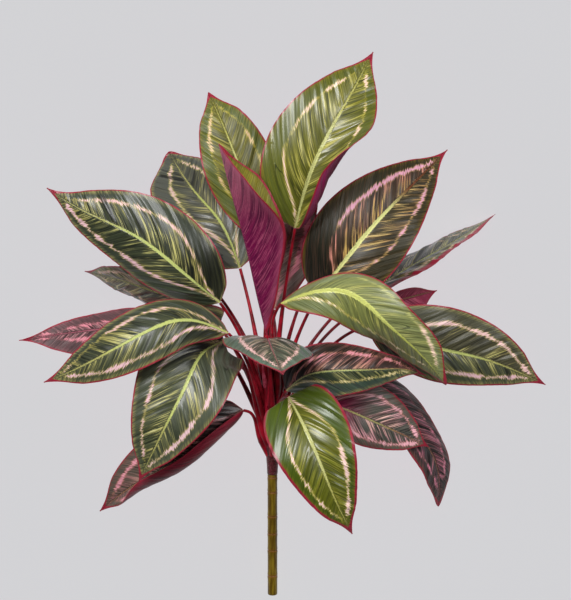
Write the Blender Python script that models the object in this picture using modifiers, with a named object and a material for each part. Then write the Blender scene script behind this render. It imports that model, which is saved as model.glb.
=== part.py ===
"""An artificial calathea bush: printed leaves on thin red stalks and a jointed pick stem, lying on its back.

The frame is in metres with +Z up. The bush lies on the plane Z = 0, its stem along Y with the cut end at
the low side, and its front faces +Z. Lengths in the leaf table are millimetres.
"""

import math
from collections import namedtuple

import bmesh
import bpy
import numpy as np
from mathutils import Matrix

MM = 0.001

# The stem's axis: where its cut end lies, and how steeply it rises from the surface to the crown
STEM_END = np.array((-9.0, -255.0, 4.5))
STEM_RISE = math.radians(14.0)
AXIS = np.array((0.0, math.cos(STEM_RISE), math.sin(STEM_RISE)))
FRONT = np.array((0.0, -math.sin(STEM_RISE), math.cos(STEM_RISE)))
ACROSS = np.array((1.0, 0.0, 0.0))

# Turned pieces, in millimetres along the axis from the cut end
STEM_LENGTH = 118.0
STEM_RADIUS = 4.5
JOINT_RADIUS = 4.9
JOINTS_AT = (19.0, 44.0, 60.5, 77.5, 101.0, 115.5)
# The joints' rings: their half height, the lip above the ring and the shoulder below it
JOINT_HALF = 0.8
JOINT_LIP = 0.3
JOINT_SHOULDER = 0.8
JOINT_STEP = 0.2
COLLAR = ((138.0, 6.0), (130.0, 5.9), (118.3, 5.0))
GAP = 0.3
TURNED_SIDES = 14

# Radius of the stalk bundle at each distance from the cut end, and the length of its tip
BUNDLE = (
    (138.3, 6.0), (150.0, 8.2), (166.0, 9.8), (190.0, 10.0),
    (212.0, 8.8), (237.0, 6.6), (262.0, 3.8), (279.0, 1.2),
)
BUNDLE_TIP = 3.0
# Pointed sheaths that stand off the bundle
Sheath = namedtuple("Sheath", "distance turn length radius lean")
SHEATHS = (
    Sheath(distance=231, turn=82, length=28, radius=2.6, lean=6),
    Sheath(distance=193, turn=166, length=28, radius=3.4, lean=14),
    Sheath(distance=202, turn=8, length=28, radius=3.4, lean=14),
    Sheath(distance=166, turn=112, length=22, radius=2.8, lean=8),
    Sheath(distance=176, turn=40, length=24, radius=2.8, lean=10),
    Sheath(distance=204, turn=138, length=22, radius=2.4, lean=10),
    Sheath(distance=217, turn=30, length=22, radius=2.4, lean=10),
)
SHEATH_TIP_RADIUS = 0.3
SHEATH_SIDES = 8

# Leaf stalks and blades
STALK_RADIUS = 1.4
STALK_FOOT_RADIUS = 2.2
STALK_CLASP = 8.0
# How much of the axis's direction a stalk keeps where it leaves the bundle
STALK_CLING = 0.45
STALK_STEPS = 9
# Share of its length over which a stalk thins
STALK_TAPERED = 0.6
STALK_STRAIGHT = 6.0
# How far a stalk turns into line with its blade before they meet
BLADE_BEND_SHARE = 0.45
BLADE_THICKNESS = 0.8
BLADE_ROWS = 12
BLADE_COLUMNS = 6
FOOT_HALF_WIDTH = 1.5
TIP_HALF_WIDTH = 0.5
# Where a blade is narrow its halves rise no steeper than this from the rib, so that a deep fold stays open
# there. The half widths say where that starts to ease, and where it ends.
NARROW_RISE = 20.0
NARROW = (1.5, 6.0)
DRIP_FROM = 0.8
DRIP_FULL = 0.97
LOBE_FROM = 0.05
LOBE_LENGTH = 0.35
DRIP_NARROWING = 0.4
# Steps along the rib that give its direction, anywhere and at its foot. The first is also the least swing
# of a half's angle in radians.
SMALL = 1e-3
FOOT_STEP = 0.02
# How far the rows of a blade crowd towards its ends: 0 is even, 1 is the most
ROWS_CROWDING = 0.35

UP = (0.0, 0.0, 1.0)

# Middle of the bush seen from above, in the leaf table's millimetres: it is the part's origin
MIDDLE = np.array((-1.0, -3.5, 0.0))

# rib: the midrib's points from foot to tip.
# left and right: half widths, seen along the rib from the foot with the face up.
# roll: turn of the face to the right, at the foot and at the tip.
# left_bend and right_bend: how far each half rises out of the face at the rib and at the margin, at the foot
# and at the tip.
# turn: where along the rib the foot's angles go over into the tip's.
# shape: how bluntly the outline widens at the foot and closes at the tip.
# lobe: how far the margins beside the foot reach back past it.
# wave: height of the margin's waves, and how many there are.
# facing: what the face looks at.
# root: distance of the stalk's root along the axis, and its turn round the axis from the right to the front.
# Angles are degrees.
GUTTER = ((16.0, -20.0), (10.0, -10.0))
RIDGE = ((-20.0, -30.0), (-15.0, -25.0))
Leaf = namedtuple(
    "Leaf",
    "name rib left right roll left_bend right_bend turn shape lobe wave facing root",
    defaults=((0.0, 0.0), GUTTER, GUTTER, (0.1, 0.9), (0.65, 1.05), 3.0, (1.6, 2.4), UP, (200.0, 90.0)),
)

LEAVES = (
    Leaf(
        "top_right",
        rib=((12, 88, 110), (28, 143, 130), (45, 178, 132), (62, 208, 126), (83, 248, 110)),
        left=49, right=44,
        right_bend=((-5, 150), (6, -12)), turn=(0.3, 0.85),
        root=(226, 68),
    ),
    Leaf(
        "top_left",
        rib=((-18, 82, 80), (-40, 147, 82), (-53, 180, 78), (-68, 214, 64)),
        left=33, right=32, shape=(0.7, 0.85), root=(226, 126),
    ),
    Leaf(
        "rolled_front",
        rib=((-14, -10, 84), (-23, 27, 106), (-34, 76, 132), (-46, 120, 146), (-57, 163, 146)),
        left=38, right=40, roll=(84, 76), shape=(1.3, 0.85), turn=(0.45, 0.9),
        left_bend=((70, 106), (40, 44)), right_bend=((64, 80), (44, 44)),
        root=(223, 100),
    ),
    Leaf(
        "upper_left",
        rib=((-39, 52, 58), (-59, 97, 52), (-77, 118, 38), (-107, 162, -2)),
        left=44, right=30, shape=(0.6, 0.6), root=(220, 165),
    ),
    Leaf(
        "left_high",
        rib=((-57, 20, 98), (-85, 43, 112), (-131, 79, 112), (-186, 106, 96), (-216, 125, 84)),
        left=40, right=43, left_bend=((-25, -55), (-15, -35)), shape=(0.65, 1.1), root=(196, 142),
    ),
    Leaf(
        "left_edge_on",
        rib=((-75, 14, 56), (-121, 31, 50), (-158, 43, 32), (-185, 49, 16)),
        left=30, right=28, roll=(-62, -55), root=(190, 178),
    ),
    Leaf(
        "left_far",
        rib=((-86, 2, 34), (-150, -3, 22), (-200, -9, 6), (-248, -16, -3)),
        left=30, right=19, roll=(30, 20), root=(172, 196),
    ),
    Leaf(
        "left_low",
        rib=((-49, -8, 112), (-91, 4, 135), (-133, -12, 142), (-188, -41, 124), (-217, -53, 108)),
        left=29, right=30, right_bend=((-25, -60), (-15, -35)), shape=(0.8, 1.05), root=(175, 131),
    ),
    Leaf(
        "lower_left",
        rib=((-53, -16, 88), (-72, -26, 104), (-86, -52, 116), (-104, -89, 118), (-131, -144, 92)),
        left=40, right=47, shape=(0.45, 1.0), lobe=22, root=(160, 140),
    ),
    Leaf(
        "lowest_left",
        rib=((-36, -80, 60), (-62, -99, 66), (-94, -125, 60), (-131, -146, 44), (-171, -176, 14)),
        left=36, right=37, left_bend=((20, 165), (15, 70)), turn=(0.6, 0.97),
        root=(151, 162),
    ),
    Leaf(
        "front_small",
        rib=((-13, -19, 96), (-13, -13, 125), (-9, -22, 165), (1, -44, 204)),
        left=44, right=42, left_bend=((10, -60), (8, -20)), facing=(0.0, 1.0, 0.0), root=(188, 90),
    ),
    Leaf(
        "right_high",
        rib=((33, 27, 84), (52, 51, 98), (80, 86, 102), (109, 117, 92), (153, 161, 62)),
        left=47, right=42, shape=(0.62, 1.18), root=(208, 36),
    ),
    Leaf(
        "right_arched",
        rib=((-1, 19, 126), (31, 30, 142), (61, 28, 150), (90, 5, 152), (128, -30, 138), (149, -55, 122)),
        left=26, right=33, roll=(-35, 40), left_bend=RIDGE, right_bend=RIDGE,
        turn=(0.1, 0.7), shape=(0.75, 0.65),
        root=(205, 62),
    ),
    Leaf(
        "right_edge_on",
        rib=((58, 17, 46), (86, 33, 44), (142, 66, 28), (180, 88, 12), (201, 103, -1)),
        left=29, right=20, roll=(-66, -66), root=(199, -4),
    ),
    Leaf(
        "right_back",
        rib=((58, 4, 28), (96, 18, 26), (125, 26, 14), (146, 31, -1)),
        left=13, right=28, left_bend=((20, 150), (10, 20)), root=(186, -28),
    ),
    Leaf(
        "right_far",
        rib=((83, -1, 78), (118, -15, 80), (146, -23, 74), (185, -32, 60), (246, -57, 30)),
        left=40, right=31, root=(182, 22),
    ),
    Leaf(
        "right_folded",
        rib=((4, -61, 92), (22, -47, 108), (53, -42, 118), (86, -41, 117), (111, -41, 108), (132, -47, 96)),
        left=31, right=29, left_bend=((-20, -50), (-15, -30)), right_bend=((-20, -50), (-15, -30)),
        shape=(0.45, 1.15), root=(166, 62),
    ),
    Leaf(
        "lower_right",
        rib=((33, -72, 76), (54, -77, 82), (74, -85, 82), (96, -95, 74), (136, -114, 50)),
        left=33, right=26, root=(152, 38),
    ),
    Leaf(
        "far_lower_right",
        rib=((56, -50, 54), (86, -56, 56), (107, -72, 50), (122, -95, 40), (142, -126, 28), (147, -172, 8)),
        left=27, right=26, roll=(-50, -50), shape=(0.65, 0.6), root=(166, 0),
    ),
    Leaf(
        "bottom_centre",
        rib=((6, -66, 114), (17, -86, 130), (32, -119, 140), (48, -158, 132), (64, -191, 112)),
        left=39, right=37, shape=(0.36, 0.95), lobe=5, root=(153, 95),
    ),
    Leaf(
        "back_centre",
        rib=((-7, 14, 46), (-2, 50, 44), (8, 83, 42), (33, 111, 36)),
        left=30, right=30, shape=(0.9, 0.8), root=(222, -90),
    ),
    Leaf(
        "hidden_left",
        rib=((-62, 30, 38), (-90, 52, 24), (-124, 78, 6), (-165, 98, -4)),
        left=27, right=27, root=(206, -140),
    ),
    Leaf(
        "hidden_right",
        rib=((26, 40, 28), (50, 74, 14), (78, 110, 2), (104, 138, -4)),
        left=27, right=27, root=(206, -60),
    ),
    Leaf(
        "hidden_bottom",
        rib=((8, -80, 30), (22, -104, 20), (36, -132, 5), (52, -162, -4)),
        left=26, right=26, shape=(1.1, 1.0), root=(149, -84),
    ),
    Leaf(
        "hidden_lower_left",
        rib=((-46, -36, 36), (-74, -56, 22), (-98, -86, 5), (-113, -118, -4)),
        left=28, right=28, shape=(1.1, 1.0), root=(160, -148),
    ),
)


def spline(points):
    """A smooth curve through the points, as a function of 0 to 1 that takes an array."""
    points = np.asarray(points, float)
    steps = np.linalg.norm(np.diff(points, axis=0), axis=1)
    knots = np.concatenate(((0.0,), np.cumsum(steps)))
    count = len(points)
    rows = np.eye(count)
    known = np.zeros_like(points)
    for i in range(1, count - 1):
        rows[i, i - 1 : i + 2] = steps[i - 1], 2 * (steps[i - 1] + steps[i]), steps[i]
        slopes = np.diff(points[i - 1 : i + 2], axis=0) / steps[i - 1 : i + 1, None]
        known[i] = 6 * (slopes[1] - slopes[0])
    bends = np.linalg.solve(rows, known)

    def at(share):
        here = np.clip(np.asarray(share, float), 0, 1) * knots[-1]
        i = np.clip(np.searchsorted(knots, here, side="right") - 1, 0, count - 2)
        h = steps[i][:, None]
        a = (knots[i + 1] - here)[:, None] / h
        b = 1 - a
        curve = ((a**3 - a) * bends[i] + (b**3 - b) * bends[i + 1]) * h**2 / 6
        return a * points[i] + b * points[i + 1] + curve

    return at


def unit(vectors):
    return vectors / np.linalg.norm(vectors, axis=-1, keepdims=True)


def smooth(share, start, end):
    t = np.clip((share - start) / (end - start), 0, 1)
    return t * t * (3 - 2 * t)


def outline(v, shape):
    """Half width of a blade along its rib, as a share of the widest."""
    foot, tip = shape
    widest = foot / (foot + tip)
    peak = widest**foot * (1 - widest) ** tip
    return v**foot * (1 - v) ** tip / peak * (1 - DRIP_NARROWING * smooth(v, DRIP_FROM, DRIP_FULL))


def blade_point_rows(leaf, u, v):
    """The blade's middle surface: u runs -1 to 1 from the left to the right margin, v from foot to tip."""
    along = spline(leaf.rib)
    place = along(v)
    small = SMALL
    forward = unit(along(np.minimum(v + small, 1)) - along(np.maximum(v - small, 0)))
    facing = np.array(leaf.facing)
    normal = unit(facing - (forward @ facing)[:, None] * forward)
    side = np.cross(forward, normal)
    change = smooth(v, *leaf.turn)
    roll = np.radians(leaf.roll[0] + (leaf.roll[1] - leaf.roll[0]) * change)[:, None]
    face = normal * np.cos(roll) + side * np.sin(roll)
    right = side * np.cos(roll) - normal * np.sin(roll)
    on_right = u >= 0
    bends = np.where(
        on_right[:, None, None], np.radians(leaf.right_bend), np.radians(leaf.left_bend)
    )
    width = np.where(on_right, leaf.right, leaf.left) * outline(v, leaf.shape)
    width = np.maximum(width, FOOT_HALF_WIDTH + (TIP_HALF_WIDTH - FOOT_HALF_WIDTH) * v)
    at_rib = bends[:, 0, 0] + (bends[:, 1, 0] - bends[:, 0, 0]) * change
    steepest = NARROW_RISE * np.minimum(width / NARROW[0], 1) + (90 - NARROW_RISE) * smooth(width, *NARROW)
    at_rib = np.minimum(at_rib, np.radians(steepest))
    at_margin = bends[:, 0, 1] + (bends[:, 1, 1] - bends[:, 0, 1]) * change
    swing = at_margin - at_rib
    swing = np.where(np.abs(swing) < small, small, swing)
    out = np.abs(u)
    angle = at_rib + swing * out
    sideways = width * (np.sin(angle) - np.sin(at_rib)) / swing
    rise = width * (np.cos(at_rib) - np.cos(angle)) / swing
    height, count = leaf.wave
    ripple = np.sin(2 * math.pi * (count * v + 0.25 * on_right) + leaf.root[1])
    rise = rise + height * ripple * out**3 * np.sin(math.pi * v)
    back = leaf.lobe * out**2 * smooth(v, 0.0, LOBE_FROM) * (1 - smooth(v, LOBE_FROM, LOBE_LENGTH))
    points = place + right * (np.sign(u) * sideways)[:, None] + face * rise[:, None]
    points -= forward * back[:, None]
    points[:, 2] = np.maximum(points[:, 2], BLADE_THICKNESS / 2)
    return points


def in_frame(points):
    """Millimetres of the table as metres from the part's origin."""
    return (points - MIDDLE) * MM


def axis_point(distance):
    return STEM_END + AXIS * distance


def bundle_radius(distance):
    return float(np.interp(distance, *zip(*BUNDLE)))


def stalk_route(leaf):
    """The stalk of a leaf leaves the bundle, leaning along it at first, and runs into the blade's foot."""
    distance, turn = leaf.root
    turn = math.radians(turn)
    outward = ACROSS * math.cos(turn) + FRONT * math.sin(turn)
    start = axis_point(distance) + outward * (bundle_radius(distance) + STALK_FOOT_RADIUS + GAP)
    foot = spline(leaf.rib)(np.array((0.0, FOOT_STEP)))
    straight = unit(start - foot[0])
    leaving = unit(AXIS * STALK_CLING - straight)
    inward = unit(straight + BLADE_BEND_SHARE * (unit(foot[0] - foot[1]) - straight))
    edge = blade_point_rows(leaf, np.array((-1.0, 1.0)), np.zeros(2)) - foot[0]
    clear = GAP + BLADE_THICKNESS / 2 + max(0.0, (edge @ inward).max())
    ends = [foot[0] + inward * (clear + STALK_STRAIGHT), foot[0] + inward * clear]
    return spline([start, start + leaving * STALK_CLASP] + ends)


# Local Z runs along the axis from the cut end, local X points right and local -Y to the front
STEM_FRAME = Matrix.Translation(in_frame(STEM_END)) @ Matrix.Rotation(STEM_RISE - math.pi / 2, 4, "X")


def material(name, colour, roughness):
    made = bpy.data.materials.new(name)
    made.use_nodes = True
    shader = made.node_tree.nodes["Principled BSDF"]
    shader.inputs["Base Color"].default_value = (*colour, 1.0)
    shader.inputs["Roughness"].default_value = roughness
    shader.inputs["Metallic"].default_value = 0.0
    return made


def add_object(name, data, finish, home):
    made = bpy.data.objects.new(name, data)
    data.materials.append(finish)
    home.objects.link(made)
    return made


def add_blade(leaf, finish, home):
    mesh = bpy.data.meshes.new("leaf_" + leaf.name)
    sheet = bmesh.new()
    bmesh.ops.create_grid(sheet, x_segments=BLADE_COLUMNS, y_segments=BLADE_ROWS, size=1.0)
    flat = np.array([vertex.co for vertex in sheet.verts])
    even = (flat[:, 1] + 1) / 2
    v = even + ROWS_CROWDING * ((1 - np.cos(math.pi * even)) / 2 - even)
    for vertex, point in zip(sheet.verts, blade_point_rows(leaf, flat[:, 0], v)):
        vertex.co = in_frame(point)
    bmesh.ops.triangulate(sheet, faces=sheet.faces)
    sheet.to_mesh(mesh)
    sheet.free()
    mesh.shade_smooth()
    blade = add_object("leaf_" + leaf.name, mesh, finish, home)
    thick = blade.modifiers.new("Thickness", "SOLIDIFY")
    thick.thickness = BLADE_THICKNESS * MM
    thick.offset = 0.0
    return blade


def add_stalk(leaf, finish, home):
    """A round stalk that thins from its root to the blade."""
    curve = bpy.data.curves.new("stalk_" + leaf.name, "CURVE")
    curve.dimensions = "3D"
    curve.bevel_depth = STALK_RADIUS * MM
    curve.bevel_resolution = 1
    curve.use_fill_caps = True
    line = curve.splines.new("POLY")
    line.points.add(STALK_STEPS)
    along = np.linspace(0, 1, STALK_STEPS + 1)
    thickness = np.interp(along, (0, STALK_TAPERED), (STALK_FOOT_RADIUS / STALK_RADIUS, 1))
    for point, place, thick in zip(line.points, stalk_route(leaf)(along), thickness):
        point.co = (*in_frame(place), 1.0)
        point.radius = thick
    return add_object(curve.name, curve, finish, home)


def add_turned(name, profile, finish, home):
    """A solid turned round the bush's axis. The profile runs top down: distance from the cut end, radius."""
    mesh = bpy.data.meshes.new(name)
    ends = [(distance, 0.0) for distance, radius in (profile[0], profile[-1]) if radius]
    profile = ends[:-1] + list(profile) + ends[-1:]
    line = bmesh.new()
    corners = [line.verts.new((radius * MM, 0, distance * MM)) for distance, radius in profile]
    for a, b in zip(corners, corners[1:]):
        line.edges.new((a, b))
    line.to_mesh(mesh)
    line.free()
    turned = add_object(name, mesh, finish, home)
    screw = turned.modifiers.new("Turn", "SCREW")
    screw.steps = TURNED_SIDES
    screw.render_steps = TURNED_SIDES
    screw.use_merge_vertices = True
    screw.merge_threshold = 0.00001
    turned.matrix_world = STEM_FRAME
    return turned


def add_sheaths(bundle, home):
    """Pointed sheaths round the bundle, joined to it: slim cones with their feet sunk in the bundle."""
    for place in SHEATHS:
        mesh = bpy.data.meshes.new("sheath")
        cone = bmesh.new()
        bmesh.ops.create_cone(
            cone,
            cap_ends=True,
            segments=SHEATH_SIDES,
            radius1=place.radius * MM,
            radius2=SHEATH_TIP_RADIUS * MM,
            depth=place.length * MM,
        )
        bmesh.ops.translate(cone, vec=(0, 0, place.length / 2 * MM), verts=cone.verts)
        cone.to_mesh(mesh)
        cone.free()
        sheath = bpy.data.objects.new("sheath", mesh)
        home.objects.link(sheath)
        sheath.hide_render = True
        sheath.display_type = "WIRE"
        out = (bundle_radius(place.distance) - place.radius / 2) * MM
        turned = Matrix.Rotation(-math.radians(place.turn), 4, "Z")
        leans = Matrix.Rotation(math.radians(place.lean), 4, "Y")
        stands = Matrix.Translation((out, 0, place.distance * MM)) @ leans
        sheath.matrix_world = STEM_FRAME @ turned @ stands
        joined = bundle.modifiers.new("Sheath", "BOOLEAN")
        joined.operation = "UNION"
        joined.object = sheath


def stem_profile():
    """Segments that flare to a ring at each joint, from the collar down to the cut end."""
    profile = [(STEM_LENGTH, STEM_RADIUS)]
    for joint in reversed(JOINTS_AT):
        profile.append((joint + JOINT_HALF, STEM_RADIUS - JOINT_STEP))
        profile.append((joint + JOINT_LIP, JOINT_RADIUS))
        profile.append((joint - JOINT_HALF, JOINT_RADIUS - JOINT_STEP))
        profile.append((joint - JOINT_HALF - JOINT_SHOULDER, STEM_RADIUS))
    return profile + [(0.0, STEM_RADIUS)]


def main():
    for old in list(bpy.data.objects):
        bpy.data.objects.remove(old)
    home = bpy.data.collections.new("artificial_calathea_bush")
    joiners = bpy.data.collections.new("joined_shapes")
    for collection in (home, joiners):
        bpy.context.scene.collection.children.link(collection)
    leaf_print = material("leaf_print", (0.045, 0.06, 0.03), 0.4)
    red_stalk = material("red_stalk", (0.22, 0.01, 0.02), 0.35)
    maroon = material("maroon_plastic", (0.08, 0.01, 0.015), 0.4)
    olive = material("olive_plastic", (0.16, 0.11, 0.015), 0.4)
    add_turned("pick_stem", stem_profile(), olive, home)
    add_turned("stem_collar", COLLAR, maroon, home)
    tip = (BUNDLE[-1][0] + BUNDLE_TIP, 0.0)
    add_sheaths(add_turned("stalk_bundle", [tip, *reversed(BUNDLE)], red_stalk, home), joiners)
    for leaf in LEAVES:
        add_blade(leaf, leaf_print, home)
        add_stalk(leaf, red_stalk, home)


main()
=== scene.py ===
"""Looks of an artificial calathea bush: printed cloth leaves, red plastic stalks and a jointed pick stem.

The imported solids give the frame, in metres with +Z up. The leaf table holds millimetres, as the part's does.
"""

import math
from collections import namedtuple
from functools import partial

import bpy
import numpy as np
from mathutils import Matrix


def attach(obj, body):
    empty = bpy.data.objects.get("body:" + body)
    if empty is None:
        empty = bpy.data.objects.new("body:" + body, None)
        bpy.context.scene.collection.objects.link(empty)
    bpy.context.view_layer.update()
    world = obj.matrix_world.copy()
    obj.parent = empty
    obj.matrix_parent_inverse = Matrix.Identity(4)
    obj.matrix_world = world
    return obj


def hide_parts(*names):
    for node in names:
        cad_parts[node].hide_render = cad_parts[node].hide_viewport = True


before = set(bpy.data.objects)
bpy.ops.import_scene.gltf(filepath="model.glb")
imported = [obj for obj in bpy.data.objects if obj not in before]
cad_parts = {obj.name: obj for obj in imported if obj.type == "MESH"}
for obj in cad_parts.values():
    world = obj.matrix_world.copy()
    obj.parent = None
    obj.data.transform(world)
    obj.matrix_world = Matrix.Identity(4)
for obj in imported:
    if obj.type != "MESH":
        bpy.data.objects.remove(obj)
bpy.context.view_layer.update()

bl_info = {
    "name": "Artificial calathea bush",
    "version": (1, 0, 0),
    "blender": (4, 5, 0),
    "location": "3D View > Sidebar > Bush",
    "description": "Builds a printed calathea bush on its pick stem, in the frame of its packed solids",
    "category": "Add Mesh",
}

MM = 0.001

# The stem's axis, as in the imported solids
STEM_END = np.array((-9.0, -255.0, 4.5))
STEM_RISE = math.radians(14.0)
AXIS = np.array((0.0, math.cos(STEM_RISE), math.sin(STEM_RISE)))
FRONT = np.array((0.0, -math.sin(STEM_RISE), math.cos(STEM_RISE)))
ACROSS = np.array((1.0, 0.0, 0.0))
# Middle of the bush in the leaf table's millimetres: it is the frame's origin
MIDDLE = np.array((-1.0, -3.5, 0.0))

STEM_LENGTH = 118.0
JOINTS_AT = (19.0, 44.0, 60.5, 77.5, 101.0, 115.5)
BUNDLE = (
    (138.3, 6.0), (150.0, 8.2), (166.0, 9.8), (190.0, 10.0),
    (212.0, 8.8), (237.0, 6.6), (262.0, 3.8), (279.0, 1.2),
)
CORE = (
    (138.3, 6.1), (144.0, 7.4), (150.0, 8.8), (158.0, 10.2), (166.0, 11.2), (178.0, 11.8), (190.0, 11.4),
    (204.0, 10.2), (220.0, 8.2), (237.0, 6.4), (262.0, 3.8), (279.0, 1.2), (282.0, 0.15),
)
# Turned pieces: their sides, and profiles from the lower end up. CUT_END holds heights and what is taken off the
# stem's radius there, JOINT_PROFILE heights from a joint's middle, whether its lip is meant, and what is taken off.
TURNED_SIDES = 40
COLLAR = ((118.3, 4.5), (118.8, 4.9), (122.0, 5.0), (127.0, 5.2), (132.0, 5.6), (138.0, 6.1))
CUT_END = ((0.0, 0.6), (0.5, 0.1), (1.2, 0.0))
JOINT_PROFILE = (
    (-4.5, False, 0.0), (-1.4, True, 0.15), (-0.6, True, 0.2), (-0.3, False, 0.35),
    (0.3, False, 0.35), (0.5, True, 0.25), (1.4, True, 0.2), (4.0, False, 0.0),
)
# A sheath: columns and rows of its grid, the power by which it closes, its tip's radius, how far it wraps to each
# side, how much its keel stands out, and its wall in metres
SHEATH_GRID = (12, 20)
SHEATH_CLOSING = 0.75
SHEATH_TIP = 0.25
SHEATH_WRAP = math.radians(105)
SHEATH_KEEL = 1.05
SHEATH_WALL = 0.0005
CORAL_SHEATHS = (1, 2, 5)
Sheath = namedtuple("Sheath", "distance turn length radius lean")
SHEATHS = (
    Sheath(231, 82, 28, 2.6, 6),
    Sheath(193, 166, 28, 3.4, 14),
    Sheath(202, 8, 28, 3.4, 14),
    Sheath(166, 112, 22, 2.8, 8),
    Sheath(176, 40, 24, 2.8, 10),
    Sheath(204, 138, 22, 2.4, 10),
    Sheath(217, 30, 22, 2.4, 10),
)

# Stalks
STALK_RADIUS = 1.4
STALK_FOOT_RADIUS = 2.2
STALK_BROAD = 2.9
STALK_TUCK = 16.0
LOWEST_TUCK = 136.0
STALK_CLASP = 8.0
STALK_CLING = 0.45
STALK_STEPS = 28
# Places along a stalk, and its thickness there as a share of its radius
STALK_THICKNESS = ((0.0, STALK_BROAD / STALK_RADIUS), (0.3, 1.5), (0.6, 1.1), (1.0, 1.0))
STALK_STRAIGHT = 6.0
BLADE_BEND_SHARE = 0.45
GAP = 0.3
SOLID_THICKNESS = 0.8

# Blades: what the solids and these pieces share
FOOT_HALF_WIDTH = 1.5
TIP_HALF_WIDTH = 0.5
NARROW_RISE = 20.0
NARROW = (1.5, 6.0)
DRIP_FROM = 0.8
DRIP_FULL = 0.97
DRIP_NARROWING = 0.4
LOBE_FROM = 0.05
LOBE_LENGTH = 0.35
# The right margin's ripple leads the left one's by this share of a wave
WAVE_LEAD = 0.25
SMALL = 1e-3
FOOT_STEP = 0.02
UP = (0.0, 0.0, 1.0)
GUTTER = ((16.0, -20.0), (10.0, -10.0))
RIDGE = ((-20.0, -30.0), (-15.0, -25.0))

# prints names the prints of the left and the right half. rib is the midrib's way, left and right are the halves'
# widths. What changes along the blade has a value for its foot and one for its tip: roll, and each bend's pair of
# slopes at the rib and at the margin. turn says where on the rib that change lies. shape bends the outline at foot
# and tip, lobe is how far the foot's lobes reach back, wave the height and number of the margin's ripples, facing
# what the face looks towards, and root the stalk's height on the bundle and its turn round it.
Leaf = namedtuple(
    "Leaf",
    "name prints rib left right roll left_bend right_bend turn shape lobe wave facing root",
    defaults=((0.0, 0.0), GUTTER, GUTTER, (0.1, 0.9), (0.65, 1.05), 3.0, (1.6, 2.4), UP, (200.0, 90.0)),
)

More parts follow.
